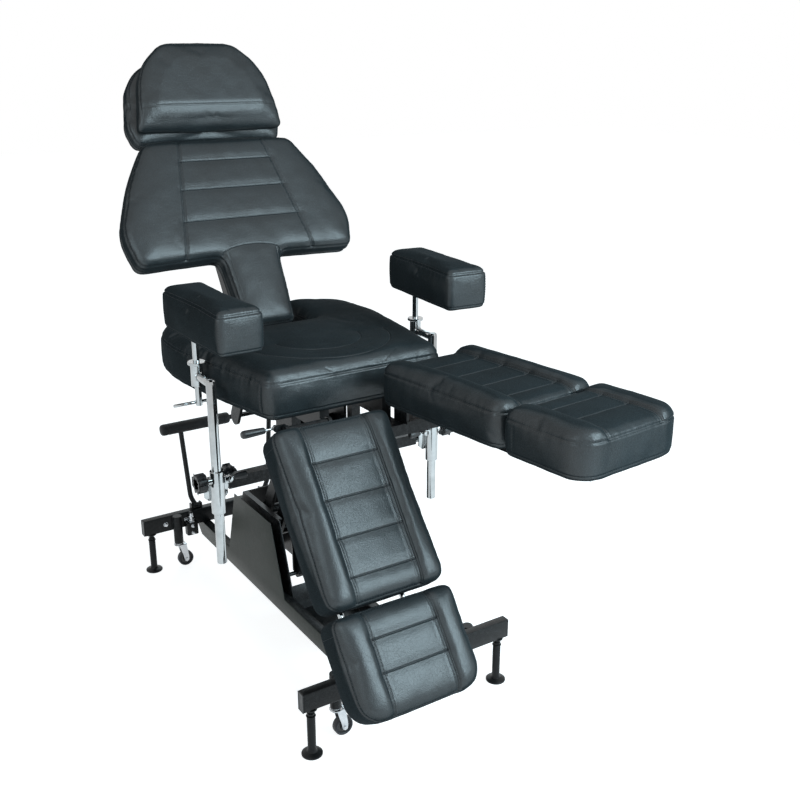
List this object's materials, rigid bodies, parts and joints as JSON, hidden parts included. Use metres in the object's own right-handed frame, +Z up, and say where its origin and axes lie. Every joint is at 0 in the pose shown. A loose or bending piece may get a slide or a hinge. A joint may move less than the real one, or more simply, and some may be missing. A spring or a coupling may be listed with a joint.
{
  "type": "tattoo chair",
  "caption": "Adjustable tattoo chair with reclining back, headrest, swivelling armrests, split leg rests and a parallelogram lift on a crossbar base.",
  "frame": {"origin": "on the floor, in the chair's symmetry plane, under the middle of its length", "axes": "+Z up, -Y the way the sitter faces, +X towards the sitter's left hand"},
  "size_m": [0.752, 1.6543, 1.5569],
  "materials": {
    "vinyl": "fine-grained black leatherette with a soft sheen",
    "black_frame": "black powder coat, semi-gloss",
    "olive_sheet": "olive-black painted sheet steel",
    "chrome": "bright chrome plate",
    "rubber": "matte black foam rubber",
    "black_plastic": "matte black moulded plastic",
    "tread": "black tread"
  },
  "bodies": {
    "base": {"crossbars": "black_frame", "base_rails": "black_frame", "end_caps": "black_plastic", "lift_housing": "olive_sheet", "pump_unit": "chrome"},
    "pump_lever": {"pump_lever": "black_frame", "pump_grip": "rubber"},
    "lift_arm_lower": {"lift_arm_lower": "olive_sheet"},
    "lift_arm_upper": {"lift_arm_upper": "olive_sheet"},
    "ram_body": {"lift_cylinder": "black_frame"},
    "ram_rod": {"lift_rod": "chrome"},
    "seat": {"seat_frame": "olive_sheet", "seat_cushion": "vinyl", "armrest_bar": "black_frame"},
    "backrest": {"backrest_frame": "black_frame", "backrest_cushion": "vinyl"},
    "strut_body": {"recline_strut_body": "black_frame"},
    "strut_rod": {"recline_strut_rod": "chrome"},
    "headrest_slide": {"headrest_slide": "chrome"},
    "headrest": {"headrest_bracket": "black_frame", "headrest_cushion": "vinyl", "headrest_pillow": "vinyl"},
    "foot_front_left": {"levelling_foot_front_left": "black_plastic"},
    "fork_front_left": {"caster_fork_front_left": "chrome"},
    "wheel_front_left": {"caster_wheel_front_left": "tread"},
    "foot_front_right": {"levelling_foot_front_right": "black_plastic"},
    "fork_front_right": {"caster_fork_front_right": "chrome"},
    "wheel_front_right": {"caster_wheel_front_right": "tread"},
    "foot_rear_left": {"levelling_foot_rear_left": "black_plastic"},
    "fork_rear_left": {"caster_fork_rear_left": "chrome"},
    "wheel_rear_left": {"caster_wheel_rear_left": "tread"},
    "foot_rear_right": {"levelling_foot_rear_right": "black_plastic"},
    "fork_rear_right": {"caster_fork_rear_right": "chrome"},
    "wheel_rear_right": {"caster_wheel_rear_right": "tread"},
    "leg_bracket_left": {"leg_bracket_left": "black_frame"},
    "leg_lock_left": {"leg_lock_lever_left": "black_plastic"},
    "leg_left": {"leg_frame_left": "black_frame", "calf_pad_left": "vinyl"},
    "footrest_left": {"foot_slide_left": "chrome", "foot_pad_left": "vinyl"},
    "arm_slider_left": {"armrest_slider_left": "chrome"},
    "arm_tube_left": {"armrest_tube_left": "chrome"},
    "arm_pad_left": {"armrest_post_left": "chrome", "armrest_pad_left": "vinyl"},
    "height_knob_left": {"armrest_height_knob_left": "black_plastic"},
    "slide_knob_left": {"armrest_slide_knob_left": "black_plastic"},
    "arm_catch_left": {"armrest_catch_left": "black_plastic"},
    "leg_bracket_right": {"leg_bracket_right": "black_frame"},
    "leg_lock_right": {"leg_lock_lever_right": "black_plastic"},
    "leg_right": {"leg_frame_right": "black_frame", "calf_pad_right": "vinyl"},
    "footrest_right": {"foot_slide_right": "chrome", "foot_pad_right": "vinyl"},
    "arm_slider_right": {"armrest_slider_right": "chrome"},
    "arm_tube_right": {"armrest_tube_right": "chrome"},
    "arm_pad_right": {"armrest_post_right": "chrome", "armrest_pad_right": "vinyl"},
    "height_knob_right": {"armrest_height_knob_right": "black_plastic"},
    "slide_knob_right": {"armrest_slide_knob_right": "black_plastic"},
    "arm_catch_right": {"armrest_catch_right": "black_plastic"}
  },
  "joints": [
    {"name": "lift", "type": "hinge", "parent": "base", "child": "lift_arm_lower", "pos_m": [0, 0.2772, 0.248], "axis": [-1, 0, 0], "range_deg": [-40, 6]},
    {"name": "lift_upper_pivot", "type": "hinge", "parent": "base", "child": "lift_arm_upper", "pos_m": [0, 0.3172, 0.298], "axis": [-1, 0, 0], "range_deg": [-40, 6]},
    {"name": "lift_seat_pivot", "type": "hinge", "parent": "lift_arm_lower", "child": "seat", "pos_m": [0, 0.0972, 0.55977], "axis": [-1, 0, 0], "range_deg": [-6, 40]},
    {"name": "ram_foot_pivot", "type": "hinge", "parent": "base", "child": "ram_body", "pos_m": [0, 0.2122, 0.13542], "axis": [-1, 0, 0], "range_deg": [-20, 3]},
    {"name": "ram_head_pivot", "type": "hinge", "parent": "lift_arm_lower", "child": "ram_rod", "pos_m": [0, 0.2122, 0.36058], "axis": [-1, 0, 0], "range_deg": [-3, 20]},
    {"name": "pump_lever_pivot", "type": "hinge", "parent": "base", "child": "pump_lever", "pos_m": [0, 0.6927, 0.184], "axis": [1, 0, 0], "range_deg": [-12, 12]},
    {"name": "recline", "type": "hinge", "parent": "seat", "child": "backrest", "pos_m": [0, 0.3492, 0.705], "axis": [-1, 0, 0], "range_deg": [-3, 52]},
    {"name": "strut_foot_pivot", "type": "hinge", "parent": "seat", "child": "strut_body", "pos_m": [0, 0.37177, 0.57698], "axis": [-1, 0, 0], "range_deg": [-1.5, 26]},
    {"name": "strut_head_pivot", "type": "hinge", "parent": "backrest", "child": "strut_rod", "pos_m": [0, 0.41972, 0.81421], "axis": [-1, 0, 0], "range_deg": [-26, 1.5]},
    {"name": "headrest_height", "type": "slide", "parent": "backrest", "child": "headrest_slide", "axis": [0, 0.5424, 0.8401], "range_m": [0, 0.07]},
    {"name": "headrest_tilt", "type": "hinge", "parent": "headrest_slide", "child": "headrest", "pos_m": [0, 0.76184, 1.29799], "axis": [-1, 0, 0], "range_deg": [-4, 20]},
    {"name": "levelling_front_left", "type": "slide", "parent": "base", "child": "foot_front_left", "axis": [0, 0, 1], "range_m": [0, 0.005]},
    {"name": "caster_swivel_front_left", "type": "hinge", "parent": "base", "child": "fork_front_left", "pos_m": [0.19, -0.3258, 0.084], "axis": [0, 0, 1], "continuous": true},
    {"name": "caster_spin_front_left", "type": "hinge", "parent": "fork_front_left", "child": "wheel_front_left", "pos_m": [0.173, -0.3258, 0.027], "axis": [0, 1, 0], "continuous": true},
    {"name": "levelling_front_right", "type": "slide", "parent": "base", "child": "foot_front_right", "axis": [0, 0, 1], "range_m": [0, 0.005]},
    {"name": "caster_swivel_front_right", "type": "hinge", "parent": "base", "child": "fork_front_right", "pos_m": [-0.19, -0.3258, 0.084], "axis": [0, 0, 1], "continuous": true},
    {"name": "caster_spin_front_right", "type": "hinge", "parent": "fork_front_right", "child": "wheel_front_right", "pos_m": [-0.173, -0.3258, 0.027], "axis": [0, 1, 0], "continuous": true},
    {"name": "levelling_rear_left", "type": "slide", "parent": "base", "child": "foot_rear_left", "axis": [0, 0, 1], "range_m": [0, 0.005]},
    {"name": "caster_swivel_rear_left", "type": "hinge", "parent": "base", "child": "fork_rear_left", "pos_m": [0.19, 0.6692, 0.084], "axis": [0, 0, 1], "continuous": true},
    {"name": "caster_spin_rear_left", "type": "hinge", "parent": "fork_rear_left", "child": "wheel_rear_left", "pos_m": [0.173, 0.6692, 0.027], "axis": [0, 1, 0], "continuous": true},
    {"name": "levelling_rear_right", "type": "slide", "parent": "base", "child": "foot_rear_right", "axis": [0, 0, 1], "range_m": [0, 0.005]},
    {"name": "caster_swivel_rear_right", "type": "hinge", "parent": "base", "child": "fork_rear_right", "pos_m": [-0.19, 0.6692, 0.084], "axis": [0, 0, 1], "continuous": true},
    {"name": "caster_spin_rear_right", "type": "hinge", "parent": "fork_rear_right", "child": "wheel_rear_right", "pos_m": [-0.173, 0.6692, 0.027], "axis": [0, 1, 0], "continuous": true},
    {"name": "leg_splay_left", "type": "hinge", "parent": "seat", "child": "leg_bracket_left", "pos_m": [0.157, -0.1648, 0.685], "axis": [0, 0, 1], "range_deg": [-4.8, 7.2]},
    {"name": "leg_hinge_left", "type": "hinge", "parent": "leg_bracket_left", "child": "leg_left", "pos_m": [0.157, -0.1648, 0.726], "axis": [0.9965, 0.0837, 0], "range_deg": [-5, 63]},
    {"name": "footrest_slide_left", "type": "slide", "parent": "leg_left", "child": "footrest_left", "axis": [0.0837, -0.9963, 0.0175], "range_m": [0, 0.12]},
    {"name": "leg_lock_pivot_left", "type": "hinge", "parent": "leg_bracket_left", "child": "leg_lock_left", "pos_m": [0.22707, -0.13884, 0.731], "axis": [-0.0837, 0.9965, 0], "range_deg": [-8, 8]},
    {"name": "armrest_width_left", "type": "slide", "parent": "seat", "child": "arm_slider_left", "axis": [1, 0, 0], "range_m": [0, 0.06]},
    {"name": "armrest_height_left", "type": "slide", "parent": "arm_slider_left", "child": "arm_tube_left", "axis": [0, 0, 1], "range_m": [-0.06, 0.04]},
    {"name": "armrest_swivel_left", "type": "hinge", "parent": "arm_tube_left", "child": "arm_pad_left", "pos_m": [0.312, 0.0972, 0.806], "axis": [0, 0, 1], "range_deg": [-15.2, 24.8]},
    {"name": "height_knob_turn_left", "type": "hinge", "parent": "arm_slider_left", "child": "height_knob_left", "pos_m": [0.312, 0.0152, 0.566], "axis": [1, 0, 0], "range_deg": [0, 360]},
    {"name": "slide_knob_turn_left", "type": "hinge", "parent": "seat", "child": "slide_knob_left", "pos_m": [0.254, 0.0332, 0.545], "axis": [0, 1, 0], "range_deg": [0, 360]},
    {"name": "arm_catch_pivot_left", "type": "hinge", "parent": "arm_slider_left", "child": "arm_catch_left", "pos_m": [0.285, 0.0102, 0.566], "axis": [0, 1, 0], "range_deg": [-25, 25]},
    {"name": "leg_splay_right", "type": "hinge", "parent": "seat", "child": "leg_bracket_right", "pos_m": [-0.157, -0.1648, 0.685], "axis": [0, 0, -1], "range_deg": [0, 12]},
    {"name": "leg_hinge_right", "type": "hinge", "parent": "leg_bracket_right", "child": "leg_right", "pos_m": [-0.157, -0.1648, 0.726], "axis": [1, 0, 0], "range_deg": [-58.5, 9.5]},
    {"name": "footrest_slide_right", "type": "slide", "parent": "leg_right", "child": "footrest_right", "axis": [0, -0.6088, -0.7934], "range_m": [0, 0.12]},
    {"name": "leg_lock_pivot_right", "type": "hinge", "parent": "leg_bracket_right", "child": "leg_lock_right", "pos_m": [-0.229, -0.1448, 0.731], "axis": [0, 1, 0], "range_deg": [-8, 8]},
    {"name": "armrest_width_right", "type": "slide", "parent": "seat", "child": "arm_slider_right", "axis": [-1, 0, 0], "range_m": [0, 0.06]},
    {"name": "armrest_height_right", "type": "slide", "parent": "arm_slider_right", "child": "arm_tube_right", "axis": [0, 0, 1], "range_m": [-0.04, 0.06]},
    {"name": "armrest_swivel_right", "type": "hinge", "parent": "arm_tube_right", "child": "arm_pad_right", "pos_m": [-0.312, 0.0972, 0.806], "axis": [0, 0, -1], "range_deg": [-18.8, 21.2]},
    {"name": "height_knob_turn_right", "type": "hinge", "parent": "arm_slider_right", "child": "height_knob_right", "pos_m": [-0.312, 0.0152, 0.566], "axis": [-1, 0, 0], "range_deg": [0, 360]},
    {"name": "slide_knob_turn_right", "type": "hinge", "parent": "seat", "child": "slide_knob_right", "pos_m": [-0.254, 0.0332, 0.545], "axis": [0, 1, 0], "range_deg": [0, 360]},
    {"name": "arm_catch_pivot_right", "type": "hinge", "parent": "arm_slider_right", "child": "arm_catch_right", "pos_m": [-0.285, 0.0102, 0.566], "axis": [0, 1, 0], "range_deg": [-25, 25]}
  ],
  "couplings": [
    {"joint": "lift_upper_pivot", "follows": "lift", "ratio": 1},
    {"joint": "lift_seat_pivot", "follows": "lift", "ratio": -1},
    {"joint": "ram_foot_pivot", "follows": "lift", "ratio": 0.5},
    {"joint": "ram_head_pivot", "follows": "lift", "ratio": -0.5},
    {"joint": "strut_foot_pivot", "follows": "recline", "ratio": 0.5},
    {"joint": "strut_head_pivot", "follows": "recline", "ratio": -0.5}
  ]
}
